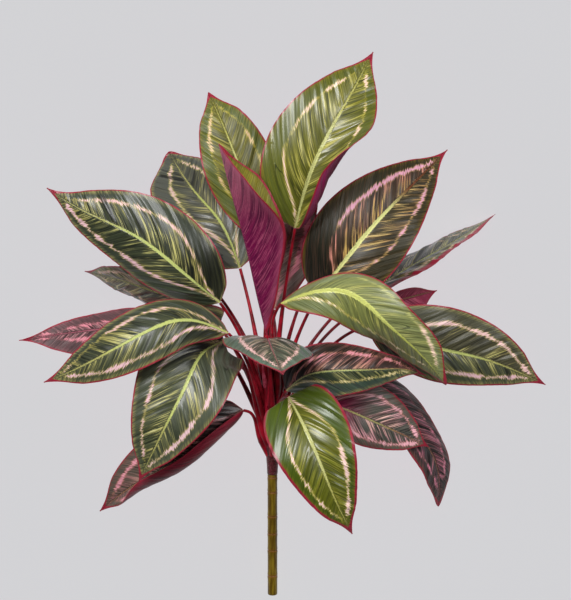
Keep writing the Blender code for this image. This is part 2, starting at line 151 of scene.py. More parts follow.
LEAVES = (
    Leaf(
        "top_right", ("olive", "olive"),
        rib=((12, 88, 110), (28, 143, 130), (45, 178, 132), (62, 208, 126), (83, 248, 110)), left=49, right=44,
        right_bend=((-5, 150), (6, -12)), turn=(0.3, 0.85), root=(226, 68),
    ),
    Leaf(
        "top_left", ("olive_dark", "olive_dark"), rib=((-18, 82, 80), (-40, 147, 82), (-53, 180, 78), (-68, 214, 64)),
        left=33, right=32, shape=(0.7, 0.85), root=(226, 126),
    ),
    Leaf(
        "rolled_front", ("olive_rolled", "olive_rolled"),
        rib=((-14, -10, 84), (-23, 27, 106), (-34, 76, 132), (-46, 120, 146), (-57, 163, 146)), left=38, right=40,
        roll=(84, 76), shape=(1.3, 0.85), turn=(0.45, 0.9), left_bend=((70, 106), (40, 44)),
        right_bend=((64, 80), (44, 44)), root=(223, 100),
    ),
    Leaf(
        "upper_left", ("grey_near", "grey"), rib=((-39, 52, 58), (-59, 97, 52), (-77, 118, 38), (-107, 162, -2)),
        left=44, right=30, shape=(0.6, 0.6), root=(220, 165),
    ),
    Leaf(
        "left_high", ("dark", "dark_fine"),
        rib=((-57, 20, 98), (-85, 43, 112), (-131, 79, 112), (-186, 106, 96), (-216, 125, 84)), left=40, right=43,
        left_bend=((-25, -55), (-15, -35)), shape=(0.65, 1.1), root=(196, 142),
    ),
    Leaf(
        "left_edge_on", ("green_folded", "green_folded"),
        rib=((-75, 14, 56), (-121, 31, 50), (-158, 43, 32), (-185, 49, 16)), left=30, right=28, roll=(-62, -55),
        root=(190, 178),
    ),
    Leaf(
        "left_far", ("mauve", "mauve"), rib=((-86, 2, 34), (-150, -3, 22), (-200, -9, 6), (-248, -16, -3)), left=30,
        right=19, roll=(30, 20), root=(172, 196),
    ),
    Leaf(
        "left_low", ("dark_lit", "dark_thin"),
        rib=((-49, -8, 112), (-91, 4, 135), (-133, -12, 142), (-188, -41, 124), (-217, -53, 108)), left=29, right=30,
        right_bend=((-25, -60), (-15, -35)), shape=(0.8, 1.05), root=(175, 131),
    ),
    Leaf(
        "lower_left", ("dark_painted_sheen", "dark_shaded"),
        rib=((-53, -16, 88), (-72, -26, 104), (-86, -52, 116), (-104, -89, 118), (-131, -144, 92)), left=40, right=47,
        shape=(0.45, 1.0), lobe=22, root=(160, 140),
    ),
    Leaf(
        "lowest_left", ("rosy", "rosy"),
        rib=((-36, -80, 60), (-62, -99, 66), (-94, -125, 60), (-131, -146, 44), (-171, -176, 14)), left=36, right=37,
        left_bend=((20, 165), (15, 70)), turn=(0.6, 0.97), root=(151, 162),
    ),
    Leaf(
        "front_small", ("front", "front"), rib=((-13, -19, 96), (-13, -13, 125), (-9, -22, 165), (1, -44, 204)),
        left=44, right=42, left_bend=((10, -60), (8, -20)), facing=(0.0, 1.0, 0.0), root=(188, 90),
    ),
    Leaf(
        "right_high", ("brown_rosy", "brown"),
        rib=((33, 27, 84), (52, 51, 98), (80, 86, 102), (109, 117, 92), (153, 161, 62)), left=47, right=42,
        shape=(0.62, 1.18), root=(208, 36),
    ),
    Leaf(
        "right_arched", ("arch_top", "arch_foot"),
        rib=((-1, 19, 126), (31, 30, 142), (61, 28, 150), (90, 5, 152), (128, -30, 138), (149, -55, 122)), left=26,
        right=33, roll=(-35, 40), left_bend=RIDGE, right_bend=RIDGE, turn=(0.1, 0.7), shape=(0.75, 0.65),
        root=(205, 62),
    ),
    Leaf(
        "right_edge_on", ("grey_folded", "grey_red"),
        rib=((58, 17, 46), (86, 33, 44), (142, 66, 28), (180, 88, 12), (201, 103, -1)), left=29, right=20,
        roll=(-66, -66), root=(199, -4),
    ),
    Leaf(
        "right_back", ("back", "back"), rib=((58, 4, 28), (96, 18, 26), (125, 26, 14), (146, 31, -1)), left=13,
        right=28, left_bend=((20, 150), (10, 20)), root=(186, -28),
    ),
    Leaf(
        "right_far", ("dark_wide", "dark_lit"),
        rib=((83, -1, 78), (118, -15, 80), (146, -23, 74), (185, -32, 60), (246, -57, 30)), left=40, right=31,
        root=(182, 22),
    ),
    Leaf(
        "right_folded", ("fold_top", "fold_foot"),
        rib=((4, -61, 92), (22, -47, 108), (53, -42, 118), (86, -41, 117), (111, -41, 108), (132, -47, 96)), left=31,
        right=29, left_bend=((-20, -50), (-15, -30)), right_bend=((-20, -50), (-15, -30)), shape=(0.45, 1.15),
        root=(166, 62),
    ),
    Leaf(
        "lower_right", ("rosy_foot", "rosy_foot"),
        rib=((33, -72, 76), (54, -77, 82), (74, -85, 82), (96, -95, 74), (136, -114, 50)), left=33, right=26,
        root=(152, 38),
    ),
    Leaf(
        "far_lower_right", ("rosy_dim", "rosy_dim"),
        rib=((56, -50, 54), (86, -56, 56), (107, -72, 50), (122, -95, 40), (142, -126, 28), (147, -172, 8)), left=27,
        right=26, roll=(-50, -50), shape=(0.65, 0.6), root=(166, 0),
    ),
    Leaf(
        "bottom_centre", ("green", "green"),
        rib=((6, -66, 114), (17, -86, 130), (32, -119, 140), (48, -158, 132), (64, -191, 112)), left=39, right=37,
        shape=(0.36, 0.95), lobe=5, root=(153, 95),
    ),
    Leaf(
        "back_centre", ("rosy_wide", "rosy_wide"), rib=((-7, 14, 46), (-2, 50, 44), (8, 83, 42), (33, 111, 36)),
        left=30, right=30, shape=(0.9, 0.8), root=(222, -90),
    ),
    Leaf(
        "hidden_left", ("dark", "dark"), rib=((-62, 30, 38), (-90, 52, 24), (-124, 78, 6), (-165, 98, -4)), left=27,
        right=27, root=(206, -140),
    ),
    Leaf(
        "hidden_right", ("dark", "dark"), rib=((26, 40, 28), (50, 74, 14), (78, 110, 2), (104, 138, -4)), left=27,
        right=27, root=(206, -60),
    ),
    Leaf(
        "hidden_bottom", ("dark", "dark"), rib=((8, -80, 30), (22, -104, 20), (36, -132, 5), (52, -162, -4)), left=26,
        right=26, shape=(1.1, 1.0), root=(149, -84),
    ),
    Leaf(
        "hidden_lower_left", ("dark", "dark"), rib=((-46, -36, 36), (-74, -56, 22), (-98, -86, 5), (-113, -118, -4)),
        left=28, right=28, shape=(1.1, 1.0), root=(160, -148),
    ),
)

# One print. ground lies outside the band and inner inside it. shade is painted shade: in the hollows of the veins,
# in thin lines where the fine relief dips, and in the folds. stroke and stroke_far are the feathering at the rib and
# at the band, wash a dimmer tone behind it, hatch the fine lines inside the rim, and foot the colour towards the
# blade's foot: painted shade on most prints that have one, the print's own magenta on rosy_foot. Widths are
# millimetres: of half the band at its thinnest and widest, and of half the rib. band_share is where the band lies
# between rib and margin at its widest, and band_from the share of the rib's length at which it starts to show. coat
# is the clear coat's weight and roughness.
Print = namedtuple(
    "Print",
    "ground inner shade stroke stroke_far wash band fringe rib rib_tip hatch foot strokes outer_lines band_width "
    "band_share band_from rib_width rim_width foot_share coat",
)
DARK = Print(
    ground="#303729", inner="#2F3524", shade="#080A06", stroke="#BEB870", stroke_far="#948C4E", wash="#5C5C38",
    band="#D4ACB2", fringe="#A0944E", rib="#BEC672", rib_tip="#B0AC64", hatch="#8A8450", foot="#30362A", strokes=0.85,
    outer_lines=0.15, band_width=(0.2, 2.0), band_share=0.63, band_from=0.0, rib_width=1.6, rim_width=1.2,
    foot_share=0.0, coat=(0.65, 0.30),
)
BRIGHT = DARK._replace(
    ground="#4E5418", inner="#5E5E1C", shade="#182006", stroke="#C8BE64", stroke_far="#A8A048", wash="#86822C",
    band="#E0C0AC", fringe="#B4A648", rib="#C4C47C", rib_tip="#B8B460", hatch="#766A1E", foot="#5A5E1C", strokes=0.7,
    outer_lines=0.3, band_width=(-0.7, 1.3), rib_width=1.8, coat=(1.0, 0.29),
)
ROSY = DARK._replace(
    ground="#2C3028", inner="#2A2C24", shade="#0A0806", stroke="#A8846A", stroke_far="#B06C74", wash="#4C3A32",
    band="#CC8894", fringe="#A06A58", rib="#A09A60", rib_tip="#A87850", hatch="#6A4038", foot="#2E2A22", strokes=0.7,
    outer_lines=0.4, band_width=(-0.2, 1.9), rib_width=0.8,
)
# FOLDED's foot colour is painted shade, darkening the blade from its foot over most of its length
FOLDED = DARK._replace(
    ground="#66685F", inner="#606256", foot="#14120C", foot_share=0.75, stroke="#C8C080", stroke_far="#A09A64",
    band="#D0B0A0", fringe="#8E8848", rib_width=1.2, band_width=(-0.8, 1.0), strokes=0.8, coat=(1.0, 0.22),
)
GREY = DARK._replace(
    ground="#4A4C44", inner="#48493E", stroke="#B4AC68", stroke_far="#9A9450", wash="#6E6C48", band="#CCACA0",
    fringe="#A09C4C", rib="#B4BC68", rib_width=1.3, band_width=(-0.3, 1.5), strokes=0.65,
)
BROWN = DARK._replace(
    ground="#2E2A18", inner="#302A1A", shade="#0C0904", stroke="#C8AC6C", stroke_far="#B88E58", wash="#6E5638",
    band="#CE96A8", fringe="#A88850", rib="#CCCC84", rib_tip="#6E3C22", hatch="#5E4C1C", rib_width=2.2,
    band_width=(-0.4, 1.3), coat=(0.3, 0.34),
)
PRINTS = {
    "dark": DARK,
    # Painted shade towards the foot
    "dark_fine": DARK._replace(band_width=(-0.2, 1.2), band="#D4ACA8", foot="#12150D", foot_share=0.45),
    "dark_thin": DARK._replace(band_width=(-0.3, 1.2), band="#D4ACA8"),
    # A lighter ground as painted light, and painted shade towards the foot
    "dark_lit": DARK._replace(
        ground="#3C4230", inner="#3E4330", wash="#6E6C42", band_width=(0.3, 1.8), foot="#1C2016", foot_share=0.35,
    ),
    "dark_wide": DARK._replace(
        ground="#40402E", inner="#42402C", wash="#7A6C4C", band_width=(0.3, 2.4), band="#DCB4B0",
    ),
    # A lighter ground as painted sheen
    "dark_painted_sheen": DARK._replace(
        ground="#464C3C", inner="#3E4432", wash="#72704A", band_width=(0.1, 2.2), band="#DCB8BC", coat=(0.8, 0.30),
    ),
    # A lighter ground as painted light, and painted shadow towards the foot, where left_low shades it
    "dark_shaded": DARK._replace(
        ground="#3E4432", inner="#40462E", wash="#72704A", band_width=(-0.1, 1.5), foot="#080A06", foot_share=0.42,
    ),
    "grey_red": FOLDED._replace(foot_share=0.7, rim_width=4.5),
    "grey_folded": FOLDED,
    # Painted shadow towards the foot, where left_high shades it
    "green_folded": DARK._replace(
        ground="#4E5446", inner="#565A48", wash="#8A8662", foot="#0E100A", foot_share=0.4, stroke="#D0C88C",
        stroke_far="#B8AE7C", band="#D8B4A8", fringe="#A8A068", rib_width=1.2, band_width=(-0.5, 1.2), strokes=0.95,
        coat=(1.0, 0.22),
    ),
    "grey": GREY,
    "grey_near": GREY._replace(fringe="#A8A44C", band_width=(0.1, 1.8), band_share=0.44),
    "brown": BROWN,
    # Painted shade towards the foot
    "brown_rosy": BROWN._replace(
        ground="#2C2816", inner="#3A2A1C", stroke="#C8A45C", stroke_far="#CC8878", wash="#7E5644", band="#CE94A8",
        fringe="#9C8048", band_width=(0.4, 1.9), band_share=0.58, band_from=0.36, foot="#12140E", foot_share=0.4,
    ),
    "olive": BRIGHT,
    "olive_dark": BRIGHT._replace(
        ground="#4C5420", inner="#5A581E", stroke="#B0A450", stroke_far="#988C40", rib_width=1.2, band="#CCAC84",
        fringe="#A89C38", band_width=(-0.5, 1.0), strokes=0.45, coat=(0.4, 0.38),
    ),
    "olive_rolled": BRIGHT._replace(
        ground="#6E6818", inner="#6E6818", shade="#342A08", wash="#8C8426", hatch="#4A3C10", outer_lines=0.8,
        rim_width=2.0, band_width=(-3.0, -2.5), coat=(0.2, 0.4),
    ),
    "arch_top": BRIGHT._replace(
        ground="#727A56", inner="#787E4C", shade="#3C4226", stroke="#BCB868", stroke_far="#989650", wash="#7C7E48",
        rib="#C6CA6C", rib_tip="#BCC058", rib_width=2.4, band_width=(0.2, 1.8), band_share=0.8, band_from=0.72,
        fringe="#B0B068", strokes=0.6, coat=(0.5, 0.34),
    ),
    "arch_foot": BRIGHT._replace(
        ground="#666E44", inner="#6E7440", shade="#343A1E", stroke="#C8C468", stroke_far="#A8A850", wash="#7C7E40",
        band="#E0CCB0", rib="#C6CA6C", rib_tip="#BCC058", rib_width=2.4, band_width=(-0.1, 1.2), strokes=0.75,
        coat=(0.6, 0.32),
    ),
    "green": BRIGHT._replace(
        ground="#3E4E08", inner="#54580E", shade="#162004", stroke="#BCB04C", stroke_far="#9C9438", wash="#767A22",
        band="#E8C4BC", fringe="#B4A848", rim_width=2.4, rib_width=1.6, strokes=0.4, band_width=(0.0, 1.7),
        outer_lines=0.1,
    ),
    "rosy": ROSY._replace(
        ground="#4A463C", inner="#564A40", wash="#8E6460", stroke="#C89A8C", foot="#140A0A", foot_share=0.55,
    ),
    # Partly painted light: the ground is lighter because the leaves above shade this back leaf
    "rosy_wide": ROSY._replace(
        ground="#7C7068", inner="#84685E", shade="#2A201C", stroke="#C89484", stroke_far="#D0808A", wash="#96706A",
        band="#DC8C98", band_width=(1.2, 3.2), band_share=0.5, fringe="#B47A70", strokes=0.8, coat=(0.2, 0.4),
    ),
    "mauve": ROSY._replace(
        ground="#503A3C", inner="#4A3234", shade="#220E14", stroke="#BC8488", stroke_far="#C4868C", wash="#7C5054",
        band="#C87C88", fringe="#8C5458", rib="#A85C6C", rib_tip="#A85C6C", hatch="#7A4A50", band_width=(-0.8, 1.8),
        band_share=0.35, coat=(0.2, 0.4),
    ),
    "rosy_dim": ROSY._replace(
        ground="#201E1A", inner="#241A18", stroke="#AC6A6C", stroke_far="#B0687A", wash="#7A3C4C", strokes=0.85,
        fringe="#6A4438", rib="#6A6444", rib_width=0.6, band="#C4748A", band_width=(-0.6, 1.5), coat=(0.3, 0.36),
    ),
    "rosy_foot": ROSY._replace(
        ground="#4E5449", inner="#484A42", foot="#7C0C40", foot_share=0.45, stroke="#D0A498", stroke_far="#D89CA4",
        wash="#8A6062", band="#E4A8B2", band_width=(0.0, 2.0), band_share=0.68, strokes=0.95, outer_lines=0.6,
        coat=(0.35, 0.36),
    ),
    # Painted shade towards the foot
    "fold_top": ROSY._replace(
        ground="#1E180E", inner="#2A1A14", stroke="#BC8C74", stroke_far="#B87478", wash="#6A443A", band="#C47E88",
        strokes=0.8, band_width=(-0.8, 1.4), rib="#A8A470", foot="#0C0A06", foot_share=0.5, coat=(0.35, 0.34),
    ),
    "fold_foot": DARK._replace(
        ground="#36463A", inner="#2C3828", stroke="#9C9864", stroke_far="#848250", rib_width=0.7, band_share=0.42,
        band_width=(-0.1, 0.9), band="#D4C494", outer_lines=0.1,
    ),
    "front": DARK._replace(
        ground="#526456", inner="#464E3E", shade="#1E241A", stroke="#C8B498", stroke_far="#C8A498", wash="#6C7460",
        rib="#B85C6C", rib_tip="#B8686C", band="#E8BCB8", fringe="#A88A70", hatch="#66745E", rib_width=0.6,
        band_width=(-0.3, 1.6), outer_lines=0.3, coat=(1.0, 0.26),
    ),
    "back": ROSY._replace(
        ground="#7E2440", inner="#7E2440", shade="#40081C", stroke="#B85C70", stroke_far="#B85C70", wash="#9A3852",
        band="#9A3852", fringe="#9A3852", rib="#9A3852", rib_tip="#7C7C44", hatch="#8A2840", band_width=(-3.0, -2.0),
        coat=(0.3, 0.4),
    ),
}

# The backs that differ: deep colour, main colour, fine lines and the tone towards the tip
Back = namedtuple("Back", "shade colour line tip")
MAROON_BACK = Back("#30020A", "#660616", "#9A2840", "#701226")
ROSE_BACK = Back("#3E0228", "#64063A", "#A8526E", "#94465C")
BACKS = {"lowest_left": MAROON_BACK, "rolled_front": ROSE_BACK}
# How deep a leaf's pleats are pressed, where not as deep as most
PLEAT_SHARES = {
    "rolled_front": 0.3, "lowest_left": 0.3, "top_right": 1.3, "bottom_centre": 1.5, "left_edge_on": 1.9,
    "right_edge_on": 1.9,
}

# Blade meshes: columns and rows
BLADE_GRID = (56, 120)
HIDDEN_GRID = (20, 48)
# Steps in which a rib's length is measured
RIB_STEPS = 200
# How far the columns crowd towards the rib: 1 is even
COLUMNS_CROWDING = 1.1
# Veins leave the rib at this slant: millimetres along it for each millimetre away from it
VEIN_SLANT = 1.05
VEIN_CURL = 0.35
# Shares of the rib's length over which the jagged band leaves the rib and comes back
BAND_OPENS = (-0.02, 0.42)
BAND_CLOSES = (0.66, 0.97)
BAND_OPENING = 0.8
BAND_CLOSED = 0.62
RIB_GROOVE = 0.5
RIB_GROOVE_WIDTH = 1.4
GROOVE_FADE = (0.0, 0.05)
# Pressed pleats along the veins: their spacings in millimetres, and each one's share of the height
PLEATS = ((19.0, 0.45), (11.3, 0.35), (8.1, 0.2))
# They fade in over these distances from the rib, over these half widths, and from the margin
PLEAT_FADES = ((1.0, 9.0), (3.0, 14.0), (-4.0, 8.0))
# Each leaf's noise is its own, and each half's too: the two meet over this distance from the rib
LEAF_STEP = 7.0
HALF_STEP = 2.5
HALVES_MEET = 1.5
# Edges flatter than this are shaded smooth
SMOOTH_UNDER = math.radians(40)

# Noises drawn out along the veins: millimetres across them, millimetres along them, and detail
FINE = (1.1, 20.0, 2.0)
SOFT = (3.2, 34.0, 2.0)
GROUPS = (10.0, 24.0, 1.0)
JAGS = (0.9, 400.0, 1.0)
DRIFT = (18.0, 400.0, 1.0)
FOLDS = (15.0, 60.0, 0.0)
SATIN = (7.0, 40.0, 0.0)
BACK_FINE = (0.9, 12.0, 2.0)
BACK_SOFT = (6.0, 40.0, 2.0)
# The weave of about 0.3 mm is drawn at 1 mm, so that it shows
WEAVE = (1.0, 1.0, 1.0)
# How often the stem's noises repeat in a millimetre. Flecks of about 0.7 mm are drawn at 1 mm, so that they show.
STEM_CLOUDS = (0.4, 0.4, 0.05)
BUNDLE_RIDGES = (0.35, 0.35, 0.03)
COLLAR_CLOUDS = 0.35
COLLAR_FLECKS = 1.0

# Name, kind, place, what it looks at, size (a sun's is an angle) and power
LAMPS = (
    ("floor_light", "SUN", (0.0, 0.0, 3.8), (0.0, 0.0, 0.0), math.radians(3), 2.65),
    ("overhead_light", "SUN", (-0.3, 1.5, 3.6), (0.0, 0.0, 0.0), math.radians(6), 1.15),
    ("left_lamp", "AREA", (-1.0, 1.1, 2.5), (0.0, 0.0, 0.05), 1.2, 78.0),
    ("right_lamp", "AREA", (1.5, 0.6, 2.4), (0.0, 0.0, 0.05), 1.0, 30.0),
)
ROOM_LIGHT = 0.04
# The camera looks straight down, and at its view's distance the picture is so many metres high
CAMERA_PLACE = (0.00422, 0.02558, 3.28)
SENSOR = 24.0
VIEW_DISTANCE = 3.2
VIEW_HEIGHT = 0.552

# The nodes that the materials are made of: Blender's name for each, its inputs in the order in which they are
# given, the output that is used, and its settings
IN_ORDER = (0, 1, 2, 3, 4)
KINDS = {
    "fade": ("MapRange", IN_ORDER, 0, {"interpolation_type": "SMOOTHSTEP"}),
    "mix": ("Mix", (0, 6, 7), 2, {"data_type": "RGBA"}),
    "noise": ("TexNoise", ("Vector", "Scale", "Detail", "Roughness"), 0, {}),
    "cloth_noise": ("TexNoise", ("Vector", "Scale", "Detail", "Roughness", "W"), 0, {"noise_dimensions": "4D"}),
    "bump": ("Bump", ("Height", "Strength", "Distance"), 0, {}),
    "join": ("CombineXYZ", IN_ORDER, 0, {}),
    "split": ("SeparateXYZ", IN_ORDER, 2, {}),
    "stretch": ("VectorMath", IN_ORDER, 0, {"operation": "MULTIPLY"}),
    "own_place": ("TexCoord", (), "Object", {}),
    **{
        name: ("Attribute", (), "Vector", {"attribute_name": name})
        for name in ("print_place", "edge_place", "stem_place")
    },
    **{
        name: ("Math", IN_ORDER, 0, {"operation": name.upper()})
        for name in ("add", "subtract", "multiply", "divide", "multiply_add", "absolute")
    },
}


def linear(colour):
    """A linear colour from an sRGB hex value."""
    shares = [int(colour[i : i + 2], 16) / 255 for i in (1, 3, 5)]
    return tuple(c / 12.92 if c <= 0.04045 else ((c + 0.055) / 1.055) ** 2.4 for c in shares)


def colour_setting(name, description, colour):
    return bpy.props.FloatVectorProperty(
        name=name, description=description, default=linear(colour), size=3, subtype="COLOR"
    )


def length_setting(name, description, usual, least, most):
    return bpy.props.FloatProperty(
        name=name, description=description, default=usual, min=least, max=most, precision=4, unit="LENGTH"
    )


class LeafSettings(bpy.types.PropertyGroup):
    thickness: length_setting("Thickness", "Thickness of the coated cloth", 0.0006, 0.0003, 0.0008)
    pleat: length_setting("Pleats", "Height of the pressed pleats along the veins", 0.0008, 0.0, 0.0012)
    rim_colour: colour_setting("Rim", "Colour of the rims", "#8C1C30")
    under_colour: colour_setting("Underside", "Colour of the undersides", "#780640")


class StalkSettings(bpy.types.PropertyGroup):
    colour: colour_setting("Stalks", "Colour of the leaf stalks", "#9C1024")


class StemSettings(bpy.types.PropertyGroup):
    stem_radius: length_setting("Stem radius", "Radius of the pick stem between its joints", 0.0045, 0.003, 0.0045)
    joint_radius: length_setting("Joint radius", "Radius of the pick stem's joints", 0.0049, 0.0045, 0.0049)
    stem_colour: colour_setting("Stem", "Colour of the pick stem", "#6E5A0A")
    collar_colour: colour_setting("Collar", "Colour of the collar", "#5A1E28")


class StageSettings(bpy.types.PropertyGroup):
    floor_size: length_setting("Floor", "Side of the floor", 8.0, 2.0, 20.0)
    floor_colour: colour_setting("Floor colour", "Colour of the floor", "#DDDDE0")


def spline(points):
    """A smooth curve through the points, as a function of 0 to 1 that takes an array."""
    points = np.asarray(points, float)
    steps = np.linalg.norm(np.diff(points, axis=0), axis=1)
    knots = np.concatenate(((0.0,), np.cumsum(steps)))
    count = len(points)
    rows = np.eye(count)
    known = np.zeros_like(points)
    for i in range(1, count - 1):
        rows[i, i - 1 : i + 2] = steps[i - 1], 2 * (steps[i - 1] + steps[i]), steps[i]
        slopes = np.diff(points[i - 1 : i + 2], axis=0) / steps[i - 1 : i + 1, None]
        known[i] = 6 * (slopes[1] - slopes[0])
    bends = np.linalg.solve(rows, known)

    def at(share):
        here = np.clip(np.asarray(share, float), 0, 1) * knots[-1]
        i = np.clip(np.searchsorted(knots, here, side="right") - 1, 0, count - 2)
        h = steps[i][:, None]
        a = (knots[i + 1] - here)[:, None] / h
        b = 1 - a
        curve = ((a**3 - a) * bends[i] + (b**3 - b) * bends[i + 1]) * h**2 / 6
        return a * points[i] + b * points[i + 1] + curve

    return at


def unit(vectors):
    return vectors / np.linalg.norm(vectors, axis=-1, keepdims=True)


def smooth(share, start, end):
    t = np.clip((share - start) / (end - start), 0, 1)
    return t * t * (3 - 2 * t)


def outline(v, shape):
    """Half width of a blade along its rib, as a share of the widest."""
    foot, tip = shape
    widest = foot / (foot + tip)
    peak = widest**foot * (1 - widest) ** tip
    return v**foot * (1 - v) ** tip / peak * (1 - DRIP_NARROWING * smooth(v, DRIP_FROM, DRIP_FULL))


def blade(leaf, u, v, pleat=0.0):
    """The blade's middle surface, where each of its points lies in the print, and how far it is from the margin.

    u runs -1 to 1 from the left to the right margin, v from foot to tip. The print's places are millimetres:
    along the veins' feet, from the rib and from the band's line.
    """
    along = spline(leaf.rib)
    place = along(v)
    forward = unit(along(np.minimum(v + SMALL, 1)) - along(np.maximum(v - SMALL, 0)))
    facing = np.array(leaf.facing)
    normal = unit(facing - (forward @ facing)[:, None] * forward)
    side = np.cross(forward, normal)
    change = smooth(v, *leaf.turn)
    roll = np.radians(leaf.roll[0] + (leaf.roll[1] - leaf.roll[0]) * change)[:, None]
    face = normal * np.cos(roll) + side * np.sin(roll)
    right = side * np.cos(roll) - normal * np.sin(roll)
    on_right = u >= 0
    bends = np.where(on_right[:, None, None], np.radians(leaf.right_bend), np.radians(leaf.left_bend))
    at_rib, at_margin = (bends[:, 0, i] + (bends[:, 1, i] - bends[:, 0, i]) * change for i in (0, 1))
    width = np.where(on_right, leaf.right, leaf.left) * outline(v, leaf.shape)
    width = np.maximum(width, FOOT_HALF_WIDTH + (TIP_HALF_WIDTH - FOOT_HALF_WIDTH) * v)
    steepest = NARROW_RISE * np.minimum(width / NARROW[0], 1) + (90 - NARROW_RISE) * smooth(width, *NARROW)
    at_rib = np.minimum(at_rib, np.radians(steepest))
    swing = at_margin - at_rib
    swing = np.where(np.abs(swing) < SMALL, SMALL, swing)
    out = np.abs(u)
    angle = at_rib + swing * out
    sideways = width * (np.sin(angle) - np.sin(at_rib)) / swing
    rise = width * (np.cos(at_rib) - np.cos(angle)) / swing
    height, count = leaf.wave
    ripple = np.sin(2 * math.pi * (count * v + WAVE_LEAD * on_right) + leaf.root[1])
    rise = rise + height * ripple * out**3 * np.sin(math.pi * v)
    back = leaf.lobe * out**2 * smooth(v, 0.0, LOBE_FROM) * (1 - smooth(v, LOBE_FROM, LOBE_LENGTH))
    points = place + right * (np.sign(u) * sideways)[:, None] + face * rise[:, None] - forward * back[:, None]

    rib_length = np.linalg.norm(np.diff(along(np.linspace(0, 1, RIB_STEPS)), axis=0), axis=1).sum()
    far = out * width
    vein = v * rib_length - back - VEIN_SLANT * far - VEIN_CURL * far**2 / max(leaf.left, leaf.right)
    band = np.where(on_right, *(PRINTS[name].band_share for name in reversed(leaf.prints)))
    band = band * smooth(v, *BAND_OPENS) ** BAND_OPENING * (1 - BAND_CLOSED * smooth(v, *BAND_CLOSES))
    if pleat:
        lift = pleat * sum(
            share * np.sin(2 * math.pi * vein / length + leaf.root[1] * (i + 1) + on_right)
            for i, (length, share) in enumerate(PLEATS)
        )
        for distance, fade in zip((far, width, width - far), PLEAT_FADES):
            lift = lift * smooth(distance, *fade)
        lift = lift * PLEAT_SHARES.get(leaf.name, 1.0)
        lift = lift - RIB_GROOVE * np.exp(-((far / RIB_GROOVE_WIDTH) ** 2)) * (1 - v) * smooth(v, *GROOVE_FADE)
        points += (face * np.cos(angle)[:, None] - right * (np.sign(u) * np.sin(angle))[:, None]) * lift[:, None]
    points[:, 2] = np.maximum(points[:, 2], SOLID_THICKNESS / 2)
    return points, np.stack((vein, far, far - band * width), 1), width - far


def in_frame(points):
    """Millimetres of the leaf table as metres from the frame's origin."""
    return (points - MIDDLE) * MM


def bundle_radius(distance):
    return np.interp(distance, *zip(*BUNDLE))


def off_axis(distance, turn, radius):
    """A point at a distance up the stem's axis and a radius from it, at a turn round it."""
    turn = math.radians(turn)
    return STEM_END + AXIS * distance + (ACROSS * math.cos(turn) + FRONT * math.sin(turn)) * radius


def stalk_route(leaf):
    """The stalk of a leaf leaves the bundle, leaning along it at first, and runs into the blade's foot."""
    distance, turn = leaf.root
    start = off_axis(distance, turn, bundle_radius(distance) + STALK_FOOT_RADIUS + GAP)
    foot = spline(leaf.rib)(np.array((0.0, FOOT_STEP)))
    straight = unit(start - foot[0])
    leaving = unit(AXIS * STALK_CLING - straight)
    inward = unit(straight + BLADE_BEND_SHARE * (unit(foot[0] - foot[1]) - straight))
    edge = blade(leaf, np.array((-1.0, 1.0)), np.zeros(2))[0] - foot[0]
    clear = GAP + SOLID_THICKNESS / 2 + max(0.0, (edge @ inward).max())
    ends = [foot[0] + inward * (clear + STALK_STRAIGHT), foot[0] + inward * clear]
    return spline([start, start + leaving * STALK_CLASP] + ends)


# Local Z runs along the stem's axis from its cut end, local X points right and local -Y to the front
STEM_FRAME = Matrix.Translation(in_frame(STEM_END)) @ Matrix.Rotation(STEM_RISE - math.pi / 2, 4, "X")


def set_inputs(made, inputs):
    """Fills a node's inputs, each with a value, a colour in hex, or the socket that feeds it."""
    for key, value in inputs.items():
        if isinstance(value, bpy.types.NodeSocket):
            made.id_data.links.new(value, made.inputs[key])
        else:
            made.inputs[key].default_value = (*linear(value), 1.0) if isinstance(value, str) else value


def add_node(tree, kind, *inputs):
    """Adds a node of one of KINDS with its settings and links, and gives the output that is used."""
    name, keys, output, settings = KINDS[kind]
    made = tree.nodes.new("ShaderNode" + name)
    for setting, value in settings.items():
        setattr(made, setting, value)
    set_inputs(made, dict(zip(keys, inputs)))
    return made.outputs[output]


def new_material(name):
    """A material with only its output and shader, its shader, and what adds a node to it."""
    made = bpy.data.materials.new(name)
    made.use_nodes = True
    return made, made.node_tree.nodes["Principled BSDF"], partial(add_node, made.node_tree)


def painted(node, colour, layers):
    """A colour with layers over it. Each layer holds the factors of its mask, and then its own colour."""
    for mask, *factors, tone in layers:
        for factor in factors:
            mask = node("multiply", mask, factor)
        colour = node("mix", mask, colour, tone)
    return colour


def cloth_places(node):
    """The print's places on a blade: along the vein feet, from rib, from band, from margin, share, leaf."""
    return [output for name in ("print_place", "edge_place") for output in node("split", node(name)).node.outputs]


def streaks(node, vein, far, leaf, noise):
    """Noise drawn out along the veins, another one on each half of each leaf."""
    across, along, detail = noise
    place = node("join", node("divide", vein, across), node("divide", far, along))
    return node("cloth_noise", place, 1.0, detail, 0.6, leaf)


